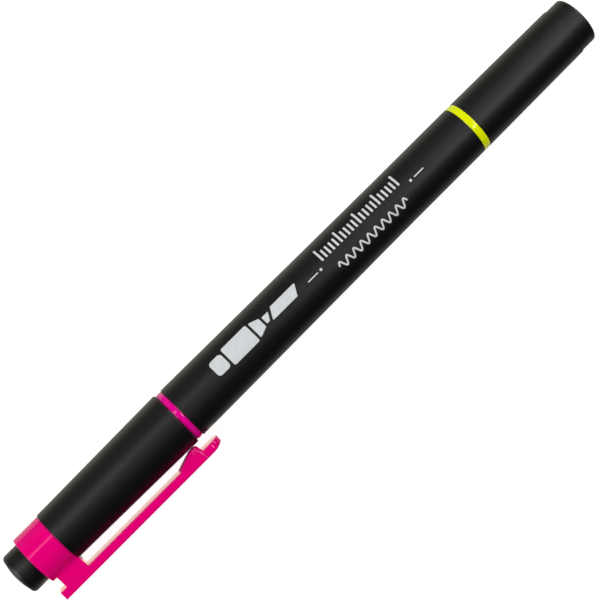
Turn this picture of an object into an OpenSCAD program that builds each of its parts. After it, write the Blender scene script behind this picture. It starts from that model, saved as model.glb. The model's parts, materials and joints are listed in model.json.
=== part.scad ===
// Two-colour highlighter: one barrel with a pink tip under a clip cap at one end and a yellow
// tip under a plain cap at the other. All sizes are in millimetres.
//
// The pen lies along X with its axis on the X axis. The flat end of the plain cap is at the
// origin and the pen runs from there towards -X, to the button of the clip cap. +Z is up. The
// clip points to -Y and leans down, as it does when the pen lies on a table and rests on it.

/* [Barrel] */
// Length of the barrel, between the two coloured rings
barrel_l = 72.4; // [60:0.2:90]
// Outer diameter of the barrel's straight part, at the plain cap
barrel_d = 10.35; // [9:0.05:12.5]
// How much wider the barrel is at the clip cap
barrel_flare = 0.65; // [0:0.05:1]
// Length of the straight part, from the plain cap's ring
barrel_straight_l = 18.4; // [14:0.2:30]
// Wall of the barrel's straight part
barrel_wall = 1.0; // [0.8:0.05:1.3]
// Thickness of the web in the divider that keeps the two inks apart
divider_web = 1.2; // [0.8:0.1:2]
// Length of the divider's rim along the barrel
divider_l = 4; // [3:0.2:8]

/* [Tip sections] */
// Length of each coloured ring, seen between barrel and cap
ring_l = 1.4; // [1:0.1:2.5]
// How far the pink ring lies below the barrel's end, on the radius
pink_ring_step = 0.09; // [0:0.01:0.2]
// How far the ring's crown drops at its edges
ring_crown = 0.15; // [0.05:0.01:0.3]
// Length of the part that the cap seats on
seat_l = 6; // [4:0.2:9]
// Length of the land that the inner cap seals on
seal_l = 3.5; // [2:0.1:6]
// Wall of the inner cap, which sets how far the sealing land steps down
liner_wall = 0.6; // [0.5:0.05:0.8]
// Length of the tapered nose
nose_l = 3.5; // [2:0.1:6]
// Wall of the nose round the tip, at its front edge
nose_wall = 0.45; // [0.3:0.05:0.6]
// Length pressed into the barrel
spigot_l = 9; // [6:0.2:12]
// Wall of the pressed-in part
spigot_wall = 0.9; // [0.7:0.05:1.1]
// Width of the air groove beside the tip
vent_w = 0.6; // [0.4:0.05:0.9]

/* [Tips and ink] */
// Diameter of the fibre tip
tip_d = 4.2; // [3.4:0.1:5.1]
// How far the tip stands out of the nose
tip_out = 5; // [4:0.1:7]
// Thickness of the chisel at its writing edge
chisel_t = 1.5; // [1:0.1:2.5]
// Angle of the writing edge to the pen's axis
chisel_angle = 60; // [50:1:75]
// How deep the tip's tail sits in the ink reservoir
tail_in = 3; // [2:0.2:6]
// Wall of the film wrapped round the reservoir
film_t = 0.15; // [0.1:0.01:0.25]

/* [Clip cap] */
// How far the cap's mouth stands over the barrel, on the radius
mouth_step = 0.175; // [0:0.025:0.6]
// Length of the empty room between the inner cap and the tube's end wall
pink_room_l = 8.6; // [3:0.2:16]
// Thickness of the tube's end wall, which the collar sits against
end_wall = 1.4; // [0.8:0.1:2.5]
// How much narrower the tube is at the collar
pink_tube_taper = 0.8; // [0:0.1:1.2]
// Length of the clip's collar
collar_l = 6; // [5:0.1:9]
// How far the collar lies below the tube, on the radius
collar_step = 0.17; // [0:0.01:0.3]
// Wall of the collar
collar_wall = 1.3; // [1:0.05:1.6]
// Wall of the tube's neck, inside the collar
neck_wall = 0.8; // [0.6:0.05:1]
// How far the button lies below the collar, on the radius
button_step = 0.9; // [0.4:0.05:1]
// Length of the button, seen past the collar
button_l = 4.2; // [3:0.1:7]
// Height of the button's domed end
button_dome = 0.5; // [0.1:0.05:0.6]

/* [Plain cap] */
// How much narrower the tube is at the end plug
plain_tube_taper = 0.3; // [0:0.05:0.6]
// Wall of the tube at its mouth
cap_wall = 0.8; // [0.7:0.05:1]
// Length of the end plug, seen past the tube
end_plug_l = 3.5; // [2:0.1:5]
// Length of the end plug inside the tube
plug_stem_l = 5; // [2:0.2:12]
// How far the end plug lies below the tube, on the radius
end_plug_step = 0.17; // [0.05:0.01:0.4]
// Radius of the end plug's rim
end_plug_round = 0.5; // [0.3:0.1:1.2]

/* [Clip] */
// Width of the clip
clip_w = 4.8; // [3.6:0.1:6]
// Thickness of the clip's arm
clip_t = 1.65; // [1.2:0.05:2.2]
// Gap between the arm and the cap's mouth
clip_gap = 1.55; // [1.2:0.05:2.5]
// How far the clip reaches past the cap's mouth
clip_overhang = 2.9; // [1:0.1:5]
// How far the clip's heel reaches past its web
heel_l = 1.5; // [0.5:0.1:3]
// Distance from the collar's outer face to the web
web_inset = 1; // [0.5:0.1:2]
// How far the web reaches past the collar, over the tube
web_lip = 0.3; // [0.2:0.1:1]
// Length of the flat on the bump that grips the cloth
bump_flat = 0.9; // [0.5:0.1:2]
// Length of the bump's sloping flank
bump_slope = 5; // [3:0.2:7]
// Distance from the cap's mouth back to the bump
bump_back = 0.5; // [0.3:0.1:3]
// Gap between the bump and the cap's mouth
bump_gap = 0.15; // [0.1:0.05:0.5]
// Length of the clip's tip, over which its outer face curves in
tip_curve_l = 2.6; // [1.5:0.1:5]
// How far the outer face curves in
tip_curve_in = 0.5; // [0.2:0.1:0.8]
// Radius of the tip's corners, seen from outside
tip_corner = 1.6; // [0.8:0.1:2.2]

/* [Fits] */
// Running clearance on the radius, between a cap and its section
run_clear = 0.03; // [0.02:0.01:0.05]
// Clearance on the radius between loose parts inside the barrel
loose_clear = 0.1; // [0.05:0.01:0.2]
// Gap at the ends of loose parts
end_gap = 0.1; // [0.05:0.01:0.3]

/* [Hidden] */
$fn = 96;
black = [0.10, 0.10, 0.09];
pink = [0.89, 0.0, 0.44];
yellow = [0.87, 0.93, 0.0];
ivory = [0.93, 0.93, 0.89];

// Diameters that follow from the walls: both ends share one section, one bore and one inner cap
bore_d = barrel_d - 2 * barrel_wall;
cap_bore_d = barrel_d - 2 * cap_wall;
liner_d = cap_bore_d - 0.6;
seal_d = liner_d - 2 * liner_wall - 2 * run_clear;
seat_d = cap_bore_d - 2 * run_clear;
spigot_bore_d = bore_d - 2 * spigot_wall;
nose_d = tip_d + 2 * nose_wall;
barrel_wide_d = barrel_d + barrel_flare;
pink_ring_d = barrel_wide_d - 2 * pink_ring_step;
pink_mouth_d = barrel_wide_d + 2 * mouth_step;
tube_end_d = pink_mouth_d - pink_tube_taper;
collar_d = tube_end_d - 2 * collar_step;
neck_d = collar_d - 2 * collar_wall;
neck_bore_d = neck_d - 2 * neck_wall;
button_d = collar_d - 2 * button_step;
plain_end_d = barrel_d - plain_tube_taper;
end_plug_d = plain_end_d - 2 * end_plug_step;

// What stands in front of the ring, measured from the ring's barrel side
front_l = ring_l + seat_l + seal_l + nose_l;
tip_reach = front_l + tip_out;
liner_start = ring_l + seat_l + end_gap;
liner_floor = 0.7;
liner_air = 0.8;
liner_end = tip_reach + liner_air + liner_floor;
reservoir_l = (barrel_l - divider_l) / 2 - spigot_l - 2 * end_gap;
reservoir_d = bore_d - 2 * loose_clear - 2 * film_t;
tail_l = spigot_l + end_gap + tail_in;
// Each cap's tube is as long as the tip and inner cap inside it need
pink_tube_l = liner_end + pink_room_l + end_wall - ring_l;
plain_tube_l = liner_end + end_gap + plug_stem_l - ring_l;
stem_out = 0.6;

// Stations along X, from the plain end at 0 to the button's end
x_plain_step = -end_plug_l;
x_plain_mouth = x_plain_step - plain_tube_l;
x_barrel_plain = x_plain_mouth - ring_l;
x_barrel_clip = x_barrel_plain - barrel_l;
x_clip_mouth = x_barrel_clip - ring_l;
x_collar = x_clip_mouth - pink_tube_l;
x_collar_end = x_collar - collar_l;
x_button_end = x_collar_end - button_l;

// The clip, in its own plane: along the pen and outwards from the axis
clip_in = pink_mouth_d / 2 + clip_gap;
clip_out = clip_in + clip_t;
clip_mid = (clip_in + clip_out) / 2;
clip_tip_x = x_clip_mouth + clip_overhang;
web_x = x_collar_end + web_inset;
clip_heel_x = web_x - heel_l;
web_end_x = x_collar + web_lip;
hinge_x = web_end_x + 0.2;
hinge_play = 0.03;
bump_x = x_clip_mouth - bump_back;
bump_in = pink_mouth_d / 2 + bump_gap;
tip_curve_r = arc_radius(tip_curve_l, tip_curve_in);
// The pen rests on the cap's mouth and on the clip's outer edge
clip_roll = asin(pink_mouth_d / 2 / norm([clip_out, clip_w / 2])) - atan(clip_w / 2 / clip_out);

// A solid of revolution about X. Its outline is a list of [x, radius] points.
module turned(outline) {
    rotate([0, 90, 0]) rotate_extrude() polygon([for (p = outline) [p[1], p[0]]]);
}

// A round bar about X from x0 to x1
module bar(x0, x1, d) {
    translate([x0, 0, 0]) rotate([0, 90, 0]) cylinder(d = d, h = x1 - x0);
}

// Points on an arc, in [x, radius] pairs
function arc(cx, cr, r, a0, a1, steps = 5) =
    [for (i = [0:steps]) let (a = a0 + (a1 - a0) * i / steps) [cx + r * cos(a), cr + r * sin(a)]];

// The radius of the arc that rises by h over half its chord, half_l
function arc_radius(half_l, h) = (pow(half_l, 2) + pow(h, 2)) / 2 / h;

// The outer line of a ring from x = 0 to l, at radius r, whose edges lie h lower than its middle
function crowned(l, r, h) = h == 0 ? [[0, r], [l, r]] :
    let (big = arc_radius(l / 2, h), half_a = asin(l / 2 / big))
    arc(l / 2, r - big, big, 90 + half_a, 90 - half_a, 6);

// Puts a part that is drawn from the barrel's end outwards at the plain end or at the clip end
module at_plain_end() {
    translate([x_barrel_plain, 0, 0]) children();
}
module at_clip_end() {
    translate([x_barrel_clip, 0, 0]) mirror([1, 0, 0]) children();
}

// Turns the clip's plane, where Y is outwards, to the side on which the pen rests
module in_clip_plane() {
    rotate([180 + clip_roll, 0, 0]) children();
}

module barrel() {
    edge = 0.12;
    color(black) difference() {
        turned([
            [x_barrel_clip, 0],
            [x_barrel_clip, barrel_wide_d / 2 - edge],
            [x_barrel_clip + edge, barrel_wide_d / 2],
            [x_barrel_plain - barrel_straight_l, barrel_d / 2],
            [x_barrel_plain, barrel_d / 2],
            [x_barrel_plain, 0]
        ]);
        bar(x_barrel_clip - 1, x_barrel_plain + 1, bore_d);
    }
}

// An H-shaped plug pressed into the middle of the bore
module barrel_divider() {
    rim = 1;
    mid = (x_barrel_clip + x_barrel_plain) / 2;
    color(ivory) translate([mid, 0, 0]) difference() {
        bar(-divider_l / 2, divider_l / 2, bore_d);
        for (side = [-1, 1]) scale([side, 1, 1])
            bar(divider_web / 2, divider_l, bore_d - 2 * rim);
    }
}

// Holds a tip: spigot in the barrel, coloured ring, seat for the cap, sealing land and nose
module section(ring_d, crown, tint) {
    r = ring_d / 2;
    snap = run_clear / 2;
    bead_x = ring_l + seat_l * 0.4;
    color(tint) difference() {
        turned(concat(
            [[-spigot_l, 0], [-spigot_l, bore_d / 2 - 0.3], [-spigot_l + 0.5, bore_d / 2],
             [0, bore_d / 2]],
            crowned(ring_l, r, crown),
            [[ring_l, seat_d / 2]],
            [[bead_x - 0.4, seat_d / 2], [bead_x, seat_d / 2 + snap], [bead_x + 0.4, seat_d / 2]],
            [[ring_l + seat_l - 0.3, seat_d / 2], [ring_l + seat_l, seat_d / 2 - 0.3],
             [ring_l + seat_l, seal_d / 2], [ring_l + seat_l + seal_l, seal_d / 2],
             [ring_l + seat_l + seal_l, seal_d / 2 - 0.2],
             [front_l - 0.2, nose_d / 2 + 0.1], [front_l, nose_d / 2], [front_l, 0]]
        ));
        bar(-spigot_l - 1, -1, spigot_bore_d);
        bar(-2, front_l + 1, tip_d);
        translate([-2, -vent_w / 2, 0]) cube([front_l + 3, vent_w, tip_d / 2 + vent_w / 2]);
    }
}

// A fibre rod cut to a slanted chisel, with its tail in the reservoir
module tip(tint) {
    len = tip_reach + tail_l;
    color(tint) difference() {
        bar(-tail_l, tip_reach, tip_d);
        for (side = [0, 1]) mirror([0, side, 0])
            translate([front_l + 0.8, tip_d / 2, -tip_d])
                rotate([0, 0, -atan((tip_d - chisel_t) / 2 / (tip_out - 0.8))])
                    cube([len, tip_d, 2 * tip_d]);
        translate([tip_reach, -tip_d, tip_d / 2]) rotate([0, 180 - chisel_angle, 0])
            translate([-len, 0, 0]) cube([2 * len, 2 * tip_d, len]);
    }
}

module reservoir(tint) {
    color(tint) difference() {
        bar(-spigot_l - end_gap - reservoir_l, -spigot_l - end_gap, reservoir_d);
        bar(-tail_l, 0, tip_d);
    }
}

module reservoir_film() {
    color(ivory) difference() {
        bar(-spigot_l - end_gap - reservoir_l, -spigot_l - end_gap, reservoir_d + 2 * film_t);
        bar(-spigot_l - reservoir_l - 1, 0, reservoir_d);
    }
}

// The cap's inner cup, which closes on the sealing land and keeps the tip wet
module inner_cap() {
    color(ivory) difference() {
        bar(liner_start, liner_end, liner_d);
        bar(liner_start - 1, liner_end - liner_floor, liner_d - 2 * liner_wall);
    }
}

// The inside of either cap, from its mouth: a seat for the section, then a seat for the inner cap
module cap_hollow(depth) {
    bar(ring_l - 1, liner_start, cap_bore_d);
    bar(ring_l, ring_l + depth, liner_d);
}

module pink_cap_tube() {
    edge = 0.25;
    color(black) difference() {
        union() {
            turned([
                [x_clip_mouth, 0],
                each arc(x_clip_mouth - edge, pink_mouth_d / 2 - edge, edge, 0, 90, 4),
                [x_collar, tube_end_d / 2], [x_collar, 0]
            ]);
            bar(x_collar_end + end_gap, x_collar + 1, neck_d);
        }
        at_clip_end() cap_hollow(pink_tube_l - end_wall);
        bar(x_collar_end - 1, x_collar + 2, neck_bore_d);
    }
}

// The domed button and the stem that holds the collar on the neck
module pink_cap_button() {
    r = button_d / 2;
    rim = 0.8;
    dome_r = arc_radius(r - rim, button_dome);
    dome_a = asin((r - rim) / dome_r);
    color(black) union() {
        turned([
            [x_collar_end, 0], [x_collar_end, r],
            for (p = arc(0, r - rim, rim, 90, 20)) [x_button_end + button_dome + rim - p[0], p[1]],
            for (p = arc(0, 0, dome_r, dome_a, 0, 4)) [x_button_end + dome_r - p[0], p[1]]
        ]);
        bar(x_collar_end - 0.5, x_collar + end_wall + stem_out, neck_bore_d);
    }
}

// The fixed end of the clip: collar, web and the root that the arm bends from
module clip_collar() {
    edge = 0.12;
    foot = neck_d / 2 + 0.2;
    lip_foot = tube_end_d / 2 + 0.1;
    color(pink) difference() {
        union() {
            turned([
                [x_collar_end, 0], [x_collar_end, collar_d / 2 - edge],
                [x_collar_end + edge, collar_d / 2], [x_collar - edge / 2, collar_d / 2],
                [x_collar, collar_d / 2 - edge / 2], [x_collar, 0]
            ]);
            in_clip_plane() {
                translate([web_x, foot, -clip_w / 2])
                    cube([x_collar - web_x, clip_mid - foot, clip_w]);
                translate([web_x, lip_foot, -clip_w / 2])
                    cube([web_end_x - web_x, clip_mid - lip_foot, clip_w]);
                translate([clip_heel_x, clip_in, -clip_w / 2])
                    cube([hinge_x - clip_heel_x, clip_t, clip_w]);
            }
        }
        bar(x_collar_end - 1, x_collar + 1, neck_d);
        in_clip_plane() translate([hinge_x, clip_mid, -clip_w])
            cylinder(d = clip_t + 2 * hinge_play, h = 2 * clip_w, $fn = 48);
    }
}

// The springy arm, from its root to its tip, with the bump that grips
module clip_arm() {
    flank_x = bump_x - bump_flat - bump_slope;
    color(pink) in_clip_plane() union() {
        translate([hinge_x, clip_mid, -clip_w / 2]) cylinder(d = clip_t, h = clip_w, $fn = 48);
        intersection() {
            translate([0, 0, -clip_w / 2]) linear_extrude(clip_w) polygon(concat(
                [[hinge_x, clip_in], [flank_x, clip_in],
                 [flank_x + bump_slope * 0.3, clip_in - (clip_in - bump_in) * 0.2],
                 [bump_x - bump_flat, bump_in + 0.1], [bump_x - bump_flat * 0.6, bump_in],
                 [bump_x - 0.3, bump_in], [bump_x, bump_in + 0.3],
                 [bump_x + 0.2, clip_in], [clip_tip_x, clip_in]],
                arc(clip_tip_x - tip_curve_l, clip_out - tip_curve_r, tip_curve_r,
                    asin((tip_curve_r - tip_curve_in) / tip_curve_r), 90),
                [[hinge_x, clip_out]]
            ));
            translate([0, clip_out + 1, 0]) rotate([90, 0, 0]) linear_extrude(clip_out) union() {
                translate([hinge_x, -clip_w / 2])
                    square([clip_tip_x - tip_corner - hinge_x, clip_w]);
                translate([clip_tip_x - 2 * tip_corner, tip_corner - clip_w / 2])
                    square([2 * tip_corner, clip_w - 2 * tip_corner]);
                for (side = [-1, 1])
                    translate([clip_tip_x - tip_corner, side * (clip_w / 2 - tip_corner)])
                        circle(tip_corner, $fn = 48);
            }
        }
    }
}

module yellow_cap_tube() {
    color(black) difference() {
        turned([
            [x_plain_mouth, 0], [x_plain_mouth, barrel_d / 2],
            [x_plain_step, plain_end_d / 2], [x_plain_step, 0]
        ]);
        at_plain_end() cap_hollow(plain_tube_l + 1);
    }
}

// The plug that closes the plain cap. Its end face is the pen's flat end.
module yellow_cap_plug() {
    r = end_plug_d / 2;
    color(black) union() {
        turned([
            [x_plain_step, 0], [x_plain_step, r],
            each arc(-end_plug_round, r - end_plug_round, end_plug_round, 90, 0),
            [0, 0]
        ]);
        bar(x_plain_step - plug_stem_l, x_plain_step + 0.5, liner_d);
    }
}

barrel();
barrel_divider();
at_clip_end() section(pink_ring_d, ring_crown, pink);  // pink_section
at_clip_end() tip(pink);  // pink_tip
at_clip_end() reservoir(pink);  // pink_reservoir
at_clip_end() reservoir_film();  // pink_reservoir_film
pink_cap_tube();
at_clip_end() inner_cap();  // pink_inner_cap
pink_cap_button();
clip_collar();
clip_arm();
at_plain_end() section(barrel_d, 0, yellow);  // yellow_section
at_plain_end() tip(yellow);  // yellow_tip
at_plain_end() reservoir(yellow);  // yellow_reservoir
at_plain_end() reservoir_film();  // yellow_reservoir_film
yellow_cap_tube();
at_plain_end() inner_cap();  // yellow_inner_cap
yellow_cap_plug();
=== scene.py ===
"""The looks of a slim double-ended highlighter: a black barrel, a pink end with a clip cap and a
yellow end with a plain cap. It is laid out as an add-on, and is run as a script.

The pen lies along X with its plain end at the origin. Shapes that are turned on a lathe are
given as outlines in millimetres, and everything is built in metres.
"""

import json
import math

import bmesh
import bpy
from mathutils import Matrix, Vector


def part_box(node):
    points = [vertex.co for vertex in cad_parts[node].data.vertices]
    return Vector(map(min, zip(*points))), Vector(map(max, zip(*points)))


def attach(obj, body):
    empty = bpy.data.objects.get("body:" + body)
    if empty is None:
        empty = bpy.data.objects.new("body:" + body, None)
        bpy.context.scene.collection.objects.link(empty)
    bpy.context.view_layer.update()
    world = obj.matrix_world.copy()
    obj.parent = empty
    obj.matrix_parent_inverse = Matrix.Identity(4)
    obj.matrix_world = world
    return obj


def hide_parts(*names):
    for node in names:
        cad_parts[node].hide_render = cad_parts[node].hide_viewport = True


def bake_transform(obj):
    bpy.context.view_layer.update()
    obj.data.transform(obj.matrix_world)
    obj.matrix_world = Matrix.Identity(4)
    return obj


bl_info = {
    "name": "Double-ended highlighter",
    "version": (1, 0, 0),
    "blender": (4, 5, 0),
    "location": "View3D > Sidebar > Highlighter",
    "description": "Builds the pieces, finishes and studio of a double-ended highlighter",
    "category": "Object",
}

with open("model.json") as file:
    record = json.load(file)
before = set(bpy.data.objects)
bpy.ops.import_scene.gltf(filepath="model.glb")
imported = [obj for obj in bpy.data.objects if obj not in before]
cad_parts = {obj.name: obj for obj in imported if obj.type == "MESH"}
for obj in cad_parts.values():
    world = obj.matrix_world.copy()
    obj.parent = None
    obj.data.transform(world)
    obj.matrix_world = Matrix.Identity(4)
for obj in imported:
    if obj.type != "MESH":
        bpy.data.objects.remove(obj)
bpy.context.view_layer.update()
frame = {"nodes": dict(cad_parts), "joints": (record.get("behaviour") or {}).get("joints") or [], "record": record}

MM = 0.001
FULL_TURN = 2 * math.pi


# ---------------------------------------------------------------- the frame's places, in metres


def x_range(node):
    """Where a node starts and ends along the pen."""
    low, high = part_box(node)
    return low.x, high.x


def radius_of(node):
    """A turned node's largest radius."""
    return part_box(node)[1].z


BARREL_X = x_range("barrel")
TUBE_X = x_range("yellow_cap_tube")
CLIP_MOUTH = x_range("pink_cap_tube")[1]
PEN_START = x_range("pink_cap_button")[0]
REST_Z = min(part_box(node)[0].z for node in frame["nodes"])
HINGE = next(j for j in frame["joints"] if j["name"] == "clip_flex")["pos_m"]
CLIP_MID = math.hypot(HINGE[1], HINGE[2])
CLIP_ROLL = math.atan2(HINGE[2], HINGE[1])


def clip_plane():
    """Turns the clip's own plane, where Y is outwards and Z across the clip, to its side of the pen."""
    return Matrix.Rotation(CLIP_ROLL, 4, "X")


def clip_reach():
    """The clip's arm in its own plane: its inner and outer faces, half its width and its end."""
    back = clip_plane().inverted()
    points = [back @ v.co for v in frame["nodes"]["clip_arm"].data.vertices]
    outer = max(p.y for p in points)
    inner = 2 * CLIP_MID - outer
    bump = min(p.y for p in points)
    return inner, outer, bump, max(p.z for p in points), max(p.x for p in points)


# ---------------------------------------------------------------- settings


def length(name, description, millimetres):
    return bpy.props.FloatProperty(
        name=name, description=description, default=millimetres * MM, min=0, subtype="DISTANCE"
    )


def linear(hex_colour):
    """An sRGB hex colour as linear values with full alpha."""
    parts = [int(hex_colour[i : i + 2], 16) / 255 for i in (1, 3, 5)]
    return [p / 12.92 if p <= 0.04045 else ((p + 0.055) / 1.055) ** 2.4 for p in parts] + [1.0]


def colour(name, description, hex_colour):
    return bpy.props.FloatVectorProperty(
        name=name, description=description, default=linear(hex_colour), size=4, min=0, max=1,
        subtype="COLOR",
    )


class HIGHLIGHTER_PG_sizes(bpy.types.PropertyGroup):
    """Sizes that the looks need and that the boxes of the nodes don't give."""

    straight_l: length("Straight part", "Length of the barrel's straight part", 18.4)
    edge: length("Moulded edge", "Radius of the edges that a mould leaves", 0.12)
    mouth_edge: length("Cap mouth", "Radius of the clip cap's mouth", 0.25)
    button_l: length("Button", "Length of the button seen past the collar", 4.2)
    button_dome: length("Button's dome", "Height of the button's domed end", 0.5)
    button_rim: length("Button's rim", "Radius of the button's rim", 0.8)
    collar_l: length("Collar", "Length of the clip's collar", 6.0)
    collar_wall: length("Collar's wall", "Wall of the collar round the cap's neck", 1.3)
    collar_step: length("Step at the collar", "How far the tube stands out past the collar", 0.17)
    web_lip: length("Web's lip", "How far the web reaches past the collar", 0.3)
    plug_step: length("Plug's step", "How far the plug stands in from the barrel's surface", 0.32)
    cap_taper: length("Plain cap's taper", "How far the plain cap narrows, on the radius", 0.15)
    plug_rim: length("Plug's rim", "Radius of the end plug's rim", 0.5)
    cap_wall: length("Cap wall", "Wall of the plain cap at its mouth", 0.8)
    run_clear: length("Running clearance", "Between a cap and its tip holder, on the radius", 0.03)
    liner_wall: length("Inner cap's wall", "Wall of the cup that seals the tip", 0.6)
    seat_l: length("Cap seat", "Length of the holder that the cap sits on", 6.0)
    seal_l: length("Sealing land", "Length of the holder that the inner cap closes on", 3.5)
    nose_l: length("Nose", "Length of the holder's tapered nose", 3.5)
    ring_crown: length("Ring's crown", "How far the pink ring's edges drop", 0.15)
    chisel_t: length("Chisel", "Thickness of the tip at its writing edge", 1.5)
    collar_edge: length("Collar's edge", "Radius of the collar's edges", 0.15)
    clip_edge: length("Clip's edge", "Radius of the clip's long edges", 0.22)
    clip_corner: length("Clip's corner", "Radius of the clip's tip, seen from outside", 2.3)
    bump_taper: bpy.props.FloatProperty(
        name="Bump's taper", description="Share of its width that the bump loses at its crest",
        default=0.6, min=0, max=0.8,
    )
    tip_curve_l: length("Clip's curve", "Length over which the clip's tip curves in", 2.6)
    tip_curve_in: length("Clip's drop", "How far the clip's tip curves in", 0.5)
    ink_relief: length("Ink relief", "How far the printed ink stands up", 0.02)


class HIGHLIGHTER_PG_colours(bpy.types.PropertyGroup):
    """Colours of the plastics, the ink and the fibre."""

    black: colour("Black", "Matte black of the barrel and caps", "#060605")
    pink: colour("Pink", "Gloss pink of the clip", "#F0007B")
    ring_pink: colour("Ring", "Gloss pink of the ring at the clip cap", "#EC0092")
    yellow: colour("Yellow", "Gloss yellow of the other ring", "#EAF400")
    natural: colour("Natural", "Undyed plastic of the inner cups", "#E9E8DF")
    print_ink: colour("Print", "Light grey ink printed on the barrel", "#DDE0E2")
    pink_fibre: colour("Pink fibre", "Tip soaked in pink ink", "#F4269A")
    yellow_fibre: colour("Yellow fibre", "Tip soaked in yellow ink", "#EEF51E")


# ---------------------------------------------------------------- nodes


def add(tree, kind, inputs=None, **settings):
    """Adds a node with its settings. An input is given a value, or the socket that feeds it."""
    node = tree.nodes.new(kind)
    for name, value in settings.items():
        setattr(node, name, value)
    for name, value in (inputs or {}).items():
        if isinstance(value, bpy.types.NodeSocket):
            tree.links.new(value, node.inputs[name])
        else:
            node.inputs[name].default_value = value
    return node


def geometry_tree(name, inputs):
    """An empty Geometry Nodes tree with a mesh in and out, a material, and inputs by name and kind."""
    tree = bpy.data.node_groups.new(name, "GeometryNodeTree")
    tree.interface.new_socket("Mesh", in_out="INPUT", socket_type="NodeSocketGeometry")
    tree.interface.new_socket("Mesh", in_out="OUTPUT", socket_type="NodeSocketGeometry")
    for label, kind in inputs.items():
        tree.interface.new_socket(label, in_out="INPUT", socket_type=kind)
    tree.interface.new_socket("Material", in_out="INPUT", socket_type="NodeSocketMaterial")
    return tree, add(tree, "NodeGroupInput")


def finish_tree(tree, group_in, mesh):
    """Ends a tree in Realize Instances and Set Material."""
    realised = add(tree, "GeometryNodeRealizeInstances", {"Geometry": mesh})
    smooth = add(tree, "GeometryNodeSetShadeSmooth", {"Geometry": realised.outputs["Geometry"]})
    painted = add(
        tree,
        "GeometryNodeSetMaterial",
        {"Geometry": smooth.outputs["Geometry"], "Material": group_in.outputs["Material"]},
    )
    add(tree, "NodeGroupOutput", {"Mesh": painted.outputs["Geometry"]})


def lathe():
    """Turns an outline of points (x, radius) about X into a closed shell. The tree is made once."""
    if "turned_shell" in bpy.data.node_groups:
        return bpy.data.node_groups["turned_shell"]
    tree, group_in = geometry_tree("turned_shell", {"Segments": "NodeSocketInt"})
    outline = group_in.outputs["Mesh"]
    counted = add(tree, "GeometryNodeAttributeDomainSize", {"Geometry": outline})
    rows = counted.outputs["Point Count"]
    segments = group_in.outputs["Segments"]
    columns = add(tree, "ShaderNodeMath", {0: segments, 1: 1.0}, operation="ADD")
    # The grid is a full turn long, so that X is the angle of each of its points
    grid = add(
        tree,
        "GeometryNodeMeshGrid",
        {"Size X": FULL_TURN, "Vertices X": columns.outputs[0], "Vertices Y": rows},
    )
    index = add(tree, "GeometryNodeInputIndex")
    row = add(tree, "ShaderNodeMath", {0: index.outputs[0], 1: rows}, operation="MODULO")
    position = add(tree, "GeometryNodeInputPosition")
    point = add(
        tree,
        "GeometryNodeSampleIndex",
        {"Geometry": outline, "Value": position.outputs[0], "Index": row.outputs[0]},
        data_type="FLOAT_VECTOR",
    )
    spot = add(tree, "ShaderNodeSeparateXYZ", {0: position.outputs[0]})
    place = add(
        tree,
        "ShaderNodeVectorRotate",
        {"Vector": point.outputs[0], "Angle": spot.outputs["X"]},
        rotation_type="X_AXIS",
    )
    moved = add(
        tree, "GeometryNodeSetPosition", {"Geometry": grid.outputs["Mesh"], "Position": place.outputs[0]}
    )
    closed = add(
        tree, "GeometryNodeMergeByDistance", {"Geometry": moved.outputs[0], "Distance": 0.0005 * MM}
    )
    finish_tree(tree, group_in, closed.outputs[0])
    return tree


def wrap_tree():
    """Wraps flat marks round the barrel: X along it, Y round it and Z off its surface."""
    sizes = ("Straight radius", "Wide radius", "Wide end", "Straight start", "Turn")
    tree, group_in = geometry_tree("wrapped_print", dict.fromkeys(sizes, "NodeSocketFloat"))
    position = add(tree, "GeometryNodeInputPosition")
    flat = add(tree, "ShaderNodeSeparateXYZ", {0: position.outputs[0]})
    surface = add(
        tree,
        "ShaderNodeMapRange",
        {
            "Value": flat.outputs["X"],
            "From Min": group_in.outputs["Wide end"],
            "From Max": group_in.outputs["Straight start"],
            "To Min": group_in.outputs["Wide radius"],
            "To Max": group_in.outputs["Straight radius"],
        },
    )
    radius = surface.outputs["Result"]
    bend = add(tree, "ShaderNodeMath", {0: flat.outputs["Y"], 1: radius}, operation="DIVIDE")
    angle = add(
        tree, "ShaderNodeMath", {0: bend.outputs[0], 1: group_in.outputs["Turn"]}, operation="ADD"
    )
    height = add(tree, "ShaderNodeMath", {0: radius, 1: flat.outputs["Z"]}, operation="ADD")
    above = add(tree, "ShaderNodeCombineXYZ", {"X": flat.outputs["X"], "Z": height.outputs[0]})
    place = add(
        tree,
        "ShaderNodeVectorRotate",
        {"Vector": above.outputs[0], "Angle": angle.outputs[0]},
        rotation_type="X_AXIS",
        invert=True,
    )
    wrapped = add(
        tree,
        "GeometryNodeSetPosition",
        {"Geometry": group_in.outputs["Mesh"], "Position": place.outputs[0]},
    )
    finish_tree(tree, group_in, wrapped.outputs[0])
    return tree


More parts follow.
